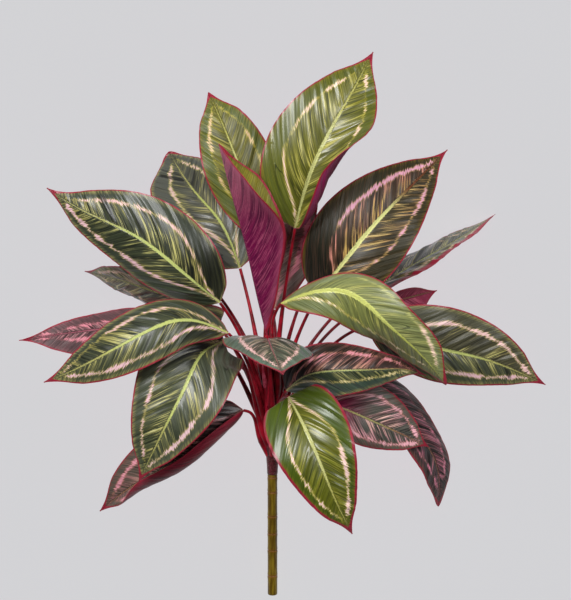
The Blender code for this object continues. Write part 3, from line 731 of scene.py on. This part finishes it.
def printed_face(name, print_, settings):
    """Coated polyester cloth, printed and pressed: its clear coat draws gloss out along the pleats."""
    made, shader, node = new_material("printed_polyester_" + name)
    vein, far, from_band, from_margin, share, leaf = cloth_places(node)
    fine, soft, groups, jags, drift, folds, satin = (
        streaks(node, vein, far, leaf, noise) for noise in (FINE, SOFT, GROUPS, JAGS, DRIFT, FOLDS, SATIN)
    )
    # The band's line is jagged. inside is what lies between it and the rib.
    from_line = node("add", from_band, node("multiply_add", jags, 9.0, -4.5))
    inside = node("fade", from_line, 0.8, -0.4)
    layers = [(inside, print_.inner)]
    # Towards the blade's foot the print takes its foot colour: painted shade on most prints, the print's own magenta
    # on rosy_foot
    if print_.foot_share:
        layers.append((node("fade", share, print_.foot_share, print_.foot_share * 0.3), print_.foot))

    # Strokes come in groups, and change their colour towards the band
    lit = node("fade", groups, 0.43, 0.57, 0.04, 1.0)
    stroke = painted(node, print_.stroke, [(node("fade", from_line, -14.0, -3.0), print_.stroke_far)])

    # The band's half width drifts, it thins to the foot, and it is gone before the tip
    half = node("fade", drift, 0.34, 0.64, *print_.band_width)
    half = node("multiply", half, node("fade", share, 0.06, 0.5, 0.4, 1.0))
    half = node("subtract", half, node("fade", share, 0.84, 0.94, 0.0, 2.5))
    band = print_.band
    if print_.band_from:
        early = node("fade", share, print_.band_from, print_.band_from - 0.08)
        half = node("subtract", half, node("multiply", early, 1.6))
        band = painted(node, band, [(early, print_.fringe)])
    off_line = node("subtract", node("absolute", from_line), half)

    # The midrib swells a little above the foot and tapers to the tip; its edges feather into the strokes
    swollen = node("fade", share, 0.0, 0.35, print_.rib_width * 0.45, print_.rib_width)
    off_rib = node("subtract", far, node("multiply", swollen, node("fade", share, 0.2, 1.05, 1.0, 0.05)))
    off_rib = node("add", off_rib, node("multiply_add", fine, -2.6, 1.3))
    rib = painted(node, print_.rib, [(node("fade", share, 0.5, 0.72), print_.rib_tip)])

    # A few sharp folds along the veins, pressed into the relief and painted with shade
    fold = node("fade", node("absolute", node("subtract", folds, 0.5)), 0.008, 0.002)
    fold = node("multiply", fold, node("fade", drift, 0.50, 0.56))
    fold = node("multiply", fold, node("fade", from_margin, 3.0, 9.0))

    # The rim has an uneven inner edge, and widens over the tip
    uneven = node("add", from_margin, node("multiply_add", drift, 2.0, -1.0))
    uneven = node("subtract", uneven, node("fade", share, 0.9, 1.0, 0.0, 3.0))

    layers += [
        # Painted shade in the hollows of the veins, where the relief dips
        (
            node("fade", soft, 0.46, 0.34), node("fade", far, 0.5, 6.0, 0.3, 0.7),
            node("fade", from_line, 0.0, 1.0, 1.0, 0.5), print_.shade,
        ),
        # Feathered strokes between rib and band, over a dimmer wash, and painted shade in thin lines where the fine
        # relief dips
        (node("fade", soft, 0.44, 0.60, 0.0, 0.6), lit, inside, print_.wash),
        (node("fade", fine, 0.46, 0.41, 0.0, 0.5), inside, print_.shade),
        (node("fade", fine, 0.525, 0.57), lit, inside, print_.strokes, stroke),
        # Fine lines in the plain zone, and mottled hatching inside the rim
        (node("fade", fine, 0.50, 0.60, 0.0, print_.outer_lines), node("fade", from_line, 0.0, 1.0), print_.wash),
        (node("fade", from_margin, 6.0, 2.0), node("fade", fine, 0.46, 0.56, 0.1, 0.8), print_.hatch),
        # Band, midrib, painted shade in the folds, and rim
        (node("fade", off_line, 1.4, 0.2, 0.0, 0.8), print_.fringe),
        (node("fade", off_line, 0.3, -0.2), band),
        (node("fade", off_rib, 0.5, -0.4), node("fade", share, 0.97, 0.85), rib),
        (fold, 0.8, print_.shade),
        (node("fade", uneven, print_.rim_width + 0.5, print_.rim_width - 0.4), (*settings.rim_colour, 1.0)),
    ]
    relief = node("add", fine, node("multiply", soft, 4.0))
    relief = node("subtract", relief, node("multiply", fold, 1.5))
    # The coat carries the gloss, and the ink under it is dull
    set_inputs(shader, {
        "Base Color": painted(node, print_.ground, layers),
        "Roughness": node("fade", soft, 0.34, 0.66, 0.52, 0.36),
        "Specular IOR Level": 0.2,
        "Coat Weight": print_.coat[0],
        "Coat Roughness": print_.coat[1],
        "Normal": node("bump", relief, 0.8, 0.0006),
        "Coat Normal": node("bump", satin, 0.8, 0.0013),
    })
    return made


def dyed_underside(name, back, settings):
    """The cloth's uncoated back, dyed: fine paler lines along the veins, a weave that shows, and a dull sheen."""
    made, shader, node = new_material("dyed_polyester_" + name)
    vein, far, _, from_margin, share, leaf = cloth_places(node)
    fine, soft, weave = (streaks(node, vein, far, leaf, noise) for noise in (BACK_FINE, BACK_SOFT, WEAVE))
    main = painted(node, back.colour, [(node("fade", share, 0.5, 0.95), back.tip)])
    set_inputs(shader, {
        "Base Color": painted(node, back.shade, [
            (node("fade", soft, 0.3, 0.6), main),
            (node("fade", fine, 0.50, 0.60, 0.0, 0.6), back.line),
            (node("fade", weave, 0.45, 0.35, 0.0, 0.4), back.shade),
            (node("fade", from_margin, 9.0, 2.0, 0.0, 0.35), back.line),
            (node("fade", from_margin, 2.0, 1.0), (*settings.rim_colour, 1.0)),
        ]),
        "Roughness": node("fade", soft, 0.3, 0.7, 0.46, 0.36),
        "Specular IOR Level": 0.3,
        "Normal": node("bump", node("add", fine, node("multiply", weave, 0.6)), 0.7, 0.0004),
    })
    return made


def moulded(name, colours, roughness, grain_mm, bump_mm):
    """Moulded polyethylene, painted, or a cut edge: the colour clouds from one tone to the next."""
    made, shader, node = new_material(name)
    cloud = node("noise", node("own_place"), 1 / (grain_mm * MM), 4.0, 0.6)
    # Less mirror-like at grazing angles than bare plastic, as its paint is
    set_inputs(shader, {
        "Base Color": painted(node, colours[0], [(node("fade", cloud, 0.35, 0.65), colours[1])]),
        "Roughness": node("fade", cloud, 0.3, 0.7, roughness - 0.06, roughness + 0.06),
        "Specular IOR Level": 0.35,
        "Normal": node("bump", cloud, 0.6, bump_mm * MM),
    })
    return made


def stem_material(settings):
    """Injection-moulded polyethylene, olive brown and satin, with red-brown wash left in the joints."""
    made, shader, node = new_material("moulded_polyethylene_stem")
    place = node("stem_place")
    height = node("split", place)
    cloud = node("noise", node("stretch", place, STEM_CLOUDS), 1.0, 3.0)
    layers = [(node("fade", cloud, 0.35, 0.65), (*settings.stem_colour, 1.0))]
    for joint in JOINTS_AT:
        away = node("absolute", node("subtract", height, joint))
        layers += [
            (node("fade", away, 2.6, 0.8, 0.0, 0.5), "#6A4412"),
            (node("fade", away, 0.6, 0.4), node("fade", cloud, 0.4, 0.55, 0.3, 0.8), "#7A5238"),
        ]
    set_inputs(shader, {
        "Base Color": painted(node, "#4C3804", layers),
        "Roughness": node("fade", cloud, 0.3, 0.7, 0.34, 0.46),
        "Normal": node("bump", cloud, 0.5, 0.0003),
    })
    return made


def bundle_material():
    """Moulded polyethylene dyed red: ridges drawn out along the stem, browner towards the collar."""
    made, shader, node = new_material("moulded_polyethylene_bundle")
    place = node("stem_place")
    ridges = node("noise", node("stretch", place, BUNDLE_RIDGES), 1.0, 2.0)
    on_ridge = node("fade", ridges, 0.38, 0.62)
    red = painted(node, "#5C0612", [(on_ridge, "#A8122A")])
    brown = painted(node, "#2C0A0C", [(on_ridge, "#5A2428")])
    set_inputs(shader, {
        "Base Color": painted(node, red, [(node("fade", node("split", place), 168.0, 142.0), brown)]),
        "Roughness": node("fade", ridges, 0.3, 0.7, 0.42, 0.30),
        "Normal": node("bump", ridges, 1.0, 0.0015),
    })
    return made


def collar_material(settings):
    """Moulded polyethylene painted maroon brown, with pale flecks where the paint hasn't taken."""
    made, shader, node = new_material("painted_polyethylene_collar")
    place = node("stem_place")
    cloud = node("noise", place, COLLAR_CLOUDS, 4.0)
    specks = node("noise", place, COLLAR_FLECKS, 1.0)
    set_inputs(shader, {
        "Base Color": painted(node, "#36100E", [
            (node("fade", cloud, 0.35, 0.65), (*settings.collar_colour, 1.0)),
            (node("fade", specks, 0.62, 0.70, 0.0, 0.6), "#9A8078"),
        ]),
        "Roughness": node("fade", cloud, 0.3, 0.7, 0.36, 0.50),
        "Normal": node("bump", cloud, 0.6, 0.0005),
    })
    return made


def floor_material(settings):
    """Matt background paper: an even pale grey without gloss."""
    made, shader, node = new_material("matt_paper_floor")
    paler = (*(c * 1.02 for c in settings.floor_colour), 1.0)
    mottle = node("noise", node("own_place"), 3.0)
    set_inputs(shader, {
        "Base Color": painted(node, (*settings.floor_colour, 1.0), [(mottle, paler)]),
        "Roughness": 0.9,
    })
    return made


def deselect():
    bpy.ops.object.select_all(action="DESELECT")


def finish(piece, slot, nodes, *materials):
    """Gives a finished piece its materials and shading, puts it under the root body and hides the solids it replaces.
    The slot is not used.
    """
    for made in materials:
        piece.data.materials.append(made)
    piece.select_set(True)
    bpy.ops.object.shade_smooth_by_angle(angle=SMOOTH_UNDER)
    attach(piece, "root")
    if nodes:
        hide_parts(*nodes)


def points_of(mesh):
    points = np.empty(len(mesh.vertices) * 3, np.float32)
    mesh.vertices.foreach_get("co", points)
    return points.reshape(-1, 3)


def set_points(mesh, points):
    mesh.vertices.foreach_set("co", np.ascontiguousarray(points, np.float32).ravel())
    mesh.update()


def keep(mesh, name, values):
    """Keeps three numbers for each point, which the materials read by name."""
    layer = mesh.attributes.new(name, "FLOAT_VECTOR", "POINT")
    layer.data.foreach_set("vector", np.ascontiguousarray(values, np.float32).ravel())


def add_grid(name, grid):
    """A bare grid, and its points' places from -1 to 1 across it and from 0 to 1 up it."""
    deselect()
    columns, rows = grid
    bpy.ops.mesh.primitive_grid_add(x_subdivisions=columns, y_subdivisions=rows, size=2, calc_uvs=False)
    piece = bpy.context.object
    piece.name = piece.data.name = name
    flat = points_of(piece.data).astype(float)
    return piece, flat[:, 0], np.clip((flat[:, 1] + 1) / 2, 0, 1)


def thicken(piece, thickness, **settings):
    """Gives a thin piece its wall, half of it on each side."""
    wall = piece.modifiers.new("Wall", "SOLIDIFY")
    for name, value in {"thickness": thickness, "offset": 0.0, **settings}.items():
        setattr(wall, name, value)
    bpy.ops.object.modifier_apply(modifier=wall.name)


def face_outwards():
    """Merges what is doubled in the active piece and turns its faces outwards."""
    bpy.ops.object.mode_set(mode="EDIT")
    bpy.ops.mesh.select_all(action="SELECT")
    bpy.ops.mesh.remove_doubles(threshold=1e-6)
    bpy.ops.mesh.normals_make_consistent(inside=False)
    bpy.ops.object.mode_set(mode="OBJECT")


def add_blade(leaf, number, settings, left, right, underside, rim):
    """A grid shaped into the blade, with its print's places, and given the cloth's thickness."""
    hidden = leaf.name.startswith("hidden")
    piece, across, v = add_grid("blade_" + leaf.name, HIDDEN_GRID if hidden else BLADE_GRID)
    mesh = piece.data
    u = np.sign(across) * np.round(np.abs(across), 5) ** COLUMNS_CROWDING
    points, places, margin = blade(leaf, u, v, settings.pleat / MM)
    set_points(mesh, in_frame(points))
    half = np.clip(places[:, 1] * np.sign(u) / HALVES_MEET, -1, 1)
    keep(mesh, "print_place", places)
    keep(mesh, "edge_place", np.stack((margin, v, number * LEAF_STEP + half * HALF_STEP), 1))
    for made in (left, right, underside, underside, rim, rim):
        mesh.materials.append(made)
    for face in mesh.polygons:
        face.material_index = int(sum(u[corner] for corner in face.vertices) > 0)
    thicken(piece, settings.thickness, material_offset=2, material_offset_rim=4)
    finish(piece, "leaf_print", ["leaf_" + leaf.name])


def add_stalk(leaf, material):
    """A round stalk that thins from its root to the blade, drawn as a curve and made a mesh."""
    deselect()
    bpy.ops.curve.primitive_bezier_curve_add()
    piece = bpy.context.object
    piece.name = piece.data.name = "petiole_" + leaf.name
    curve = piece.data
    curve.splines.clear()
    curve.bevel_depth = STALK_RADIUS * MM
    curve.bevel_resolution = 3
    curve.use_fill_caps = True
    line = curve.splines.new("POLY")
    along = np.linspace(0, 1, STALK_STEPS)
    thickness = np.interp(along, *zip(*STALK_THICKNESS))
    # Its hidden end lies below its root and inside the bundle
    distance, turn = leaf.root
    distance = max(distance - STALK_TUCK, LOWEST_TUCK)
    tucked = off_axis(distance, turn, bundle_radius(distance) - STALK_BROAD)
    places = np.vstack((tucked, stalk_route(leaf)(along)))
    line.points.add(len(places) - 1)
    for point, place, thick in zip(line.points, places, np.append(thickness[0], thickness)):
        point.co = (*in_frame(place), 1.0)
        point.radius = thick
    bpy.ops.object.convert(target="MESH")
    face_outwards()
    finish(bpy.context.object, "red_stalk", ["stalk_" + leaf.name], material)


def turned(name, profile):
    """A round solid from its profile of distances up the stem and radii, drawn up and laid on the stem's axis."""
    deselect()
    (low, radius), *rest = profile
    bpy.ops.mesh.primitive_circle_add(
        vertices=TURNED_SIDES, radius=radius * MM, fill_type="NGON", location=(0, 0, low * MM)
    )
    piece = bpy.context.object
    piece.name = piece.data.name = name
    bpy.ops.object.mode_set(mode="EDIT")
    bpy.ops.mesh.select_all(action="SELECT")
    for distance, wide in rest:
        bpy.ops.mesh.extrude_region_move(TRANSFORM_OT_translate={"value": (0, 0, (distance - low) * MM)})
        bpy.ops.transform.resize(value=(wide / radius, wide / radius, 1))
        low, radius = distance, wide
    bpy.ops.object.mode_set(mode="OBJECT")
    face_outwards()
    bpy.ops.object.transform_apply(location=True, rotation=True, scale=True)
    keep(piece.data, "stem_place", points_of(piece.data) / MM)
    piece.data.transform(STEM_FRAME)
    return piece


def stem_profile(settings):
    """Segments that swell a little at their ends, with a narrow notch at each joint, from the cut end up."""
    plain = settings.stem_radius / MM
    lip = settings.joint_radius / MM
    profile = [(height, plain - less) for height, less in CUT_END]
    for joint in JOINTS_AT:
        profile += [(joint + height, (lip if on_lip else plain) - less) for height, on_lip, less in JOINT_PROFILE]
    return profile[:-2] + [(STEM_LENGTH, plain)]


def add_sheath(sheath, number, material):
    """A pointed sheath, folded round the bundle like a boat's bow, standing where its solid cone does."""
    piece, across, up = add_grid("sheath_%d" % number, SHEATH_GRID)
    wide = sheath.radius * (1 - up) ** SHEATH_CLOSING + SHEATH_TIP
    angle = across * SHEATH_WRAP
    points = np.stack((wide * np.cos(angle) * SHEATH_KEEL, wide * np.sin(angle), up * sheath.length), 1) * MM
    out = (bundle_radius(sheath.distance) - sheath.radius / 2) * MM
    stands = Matrix.Translation((out, 0, sheath.distance * MM)) @ Matrix.Rotation(math.radians(sheath.lean), 4, "Y")
    whole = np.array(STEM_FRAME @ Matrix.Rotation(-math.radians(sheath.turn), 4, "Z") @ stands)
    set_points(piece.data, points @ whole[:3, :3].T + whole[:3, 3])
    thicken(piece, SHEATH_WALL)
    finish(piece, "red_stalk", (), material)


class BUSH_OT_add_leaves(bpy.types.Operator):
    """Adds the printed leaf blades"""

    bl_idname = "bush.add_leaves"
    bl_label = "Leaves"
    bl_options = {"REGISTER", "UNDO"}

    def execute(self, context):
        settings = context.scene.bush_leaves
        faces = {name: printed_face(name, print_, settings) for name, print_ in PRINTS.items()}
        under = (*settings.under_colour, 1.0)
        usual = dyed_underside("back", Back("#3C0628", under, "#8C3C60", under), settings)
        backs = {name: dyed_underside("back_" + name, back, settings) for name, back in BACKS.items()}
        rim = moulded("cut_polyester_rim", ("#7A1428", "#A82A40"), 0.5, 2.0, 0.05)
        for number, leaf in enumerate(LEAVES):
            left, right = leaf.prints
            add_blade(leaf, number, settings, faces[left], faces[right], backs.get(leaf.name, usual), rim)
        return {"FINISHED"}


class BUSH_OT_add_stalks(bpy.types.Operator):
    """Adds the red stalk of each leaf"""

    bl_idname = "bush.add_stalks"
    bl_label = "Stalks"
    bl_options = {"REGISTER", "UNDO"}

    def execute(self, context):
        colours = ("#640812", (*context.scene.bush_stalks.colour, 1.0))
        red = moulded("moulded_polyethylene_stalk", colours, 0.36, 14.0, 0.1)
        for leaf in LEAVES:
            add_stalk(leaf, red)
        return {"FINISHED"}


class BUSH_OT_add_bundle(bpy.types.Operator):
    """Adds the bundle of stalk feet and the pointed sheaths round it"""

    bl_idname = "bush.add_bundle"
    bl_label = "Stalk bundle"
    bl_options = {"REGISTER", "UNDO"}

    def execute(self, context):
        finish(turned("bundle_core", CORE), "red_stalk", ["stalk_bundle"], bundle_material())
        dark = moulded("moulded_polyethylene_dark_sheath", ("#740A1C", "#B01830"), 0.32, 8.0, 0.1)
        coral = moulded("moulded_polyethylene_coral_sheath", ("#B02C42", "#DC6078"), 0.36, 6.0, 0.1)
        for number, sheath in enumerate(SHEATHS):
            add_sheath(sheath, number, coral if number in CORAL_SHEATHS else dark)
        return {"FINISHED"}


class BUSH_OT_add_stem(bpy.types.Operator):
    """Adds the jointed pick stem and the collar above it"""

    bl_idname = "bush.add_stem"
    bl_label = "Pick stem and collar"
    bl_options = {"REGISTER", "UNDO"}

    def execute(self, context):
        settings = context.scene.bush_stem
        stem = turned("jointed_stem", stem_profile(settings))
        finish(stem, "olive_plastic", ["pick_stem"], stem_material(settings))
        finish(turned("collar", COLLAR), "maroon_plastic", ["stem_collar"], collar_material(settings))
        return {"FINISHED"}


def add_lamp(name, kind, place, look_at, size, power):
    """A soft white lamp that looks at a point. A sun's size is an angle."""
    data = bpy.data.lights.new(name, kind)
    setattr(data, "angle" if kind == "SUN" else "size", size)
    data.energy = power
    lamp = bpy.data.objects.new(name, data)
    bpy.context.scene.collection.objects.link(lamp)
    aim = Matrix.Translation(place)
    direction = aim.translation - Matrix.Translation(look_at).translation
    lamp.matrix_world = aim @ direction.to_track_quat("Z", "Y").to_matrix().to_4x4()
    return lamp


class BUSH_OT_add_stage(bpy.types.Operator):
    """Adds the floor, the soft lamps and the camera that looks down on the bush"""

    bl_idname = "bush.add_stage"
    bl_label = "Stage"
    bl_options = {"REGISTER", "UNDO"}

    def execute(self, context):
        settings = context.scene.bush_stage
        scene = context.scene
        deselect()
        bpy.ops.mesh.primitive_plane_add(size=settings.floor_size)
        floor = bpy.context.object
        floor.name = "floor"
        floor.data.materials.append(floor_material(settings))

        # One light from straight overhead whitens the floor alone, so that no shadow falls there. The bush has a
        # weaker one of its own, from above its leaves' tips, and a soft lamp at each side that draws the gloss.
        floor_light, overhead, left, right = (add_lamp(*lamp) for lamp in LAMPS)
        overhead.visible_glossy = False
        only_floor = bpy.data.collections.new("lit_by_the_floor_light")
        only_floor.objects.link(floor)
        floor_light.light_linking.receiver_collection = only_floor
        floor_light.light_linking.blocker_collection = only_floor
        all_but_floor = bpy.data.collections.new("lit_by_the_bush_lamps")
        all_but_floor.objects.link(floor)
        all_but_floor.collection_objects[0].light_linking.link_state = "EXCLUDE"
        for lamp in (overhead, left, right):
            lamp.light_linking.receiver_collection = all_but_floor
        scene.world = bpy.data.worlds.new("soft_room")
        scene.world.use_nodes = True
        set_inputs(scene.world.node_tree.nodes["Background"], {"Color": "#FFFFFF", "Strength": ROOM_LIGHT})

        data = bpy.data.cameras.new("camera")
        data.sensor_fit = "VERTICAL"
        data.sensor_height = SENSOR
        data.lens = SENSOR * VIEW_DISTANCE / VIEW_HEIGHT
        scene.camera = bpy.data.objects.new("camera", data)
        scene.camera.location = CAMERA_PLACE
        scene.collection.objects.link(scene.camera)
        scene.view_settings.view_transform = "Standard"
        return {"FINISHED"}


class BUSH_PT_panel(bpy.types.Panel):
    """Lists the pieces of the bush"""

    bl_label = "Calathea bush"
    bl_space_type = "VIEW_3D"
    bl_region_type = "UI"
    bl_category = "Bush"

    def draw(self, context):
        for operator, name in zip(OPERATORS, ("bush_leaves", "bush_stalks", None, "bush_stem", "bush_stage")):
            box = self.layout.box()
            box.operator(operator.bl_idname)
            for setting in SETTINGS[name].__annotations__ if name else ():
                box.prop(getattr(context.scene, name), setting)


OPERATORS = (BUSH_OT_add_leaves, BUSH_OT_add_stalks, BUSH_OT_add_bundle, BUSH_OT_add_stem, BUSH_OT_add_stage)
SETTINGS = {
    "bush_leaves": LeafSettings, "bush_stalks": StalkSettings, "bush_stem": StemSettings, "bush_stage": StageSettings,
}
CLASSES = (*SETTINGS.values(), *OPERATORS, BUSH_PT_panel)


def register():
    for made in CLASSES:
        bpy.utils.register_class(made)
    for name, kind in SETTINGS.items():
        setattr(bpy.types.Scene, name, bpy.props.PointerProperty(type=kind))


def unregister():
    for name in SETTINGS:
        delattr(bpy.types.Scene, name)
    for made in reversed(CLASSES):
        bpy.utils.unregister_class(made)


def main():
    register()
    bpy.ops.bush.add_leaves()
    bpy.ops.bush.add_stalks()
    bpy.ops.bush.add_bundle()
    bpy.ops.bush.add_stem()
    bpy.ops.bush.add_stage()
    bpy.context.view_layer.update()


if __name__ == "__main__":
    main()
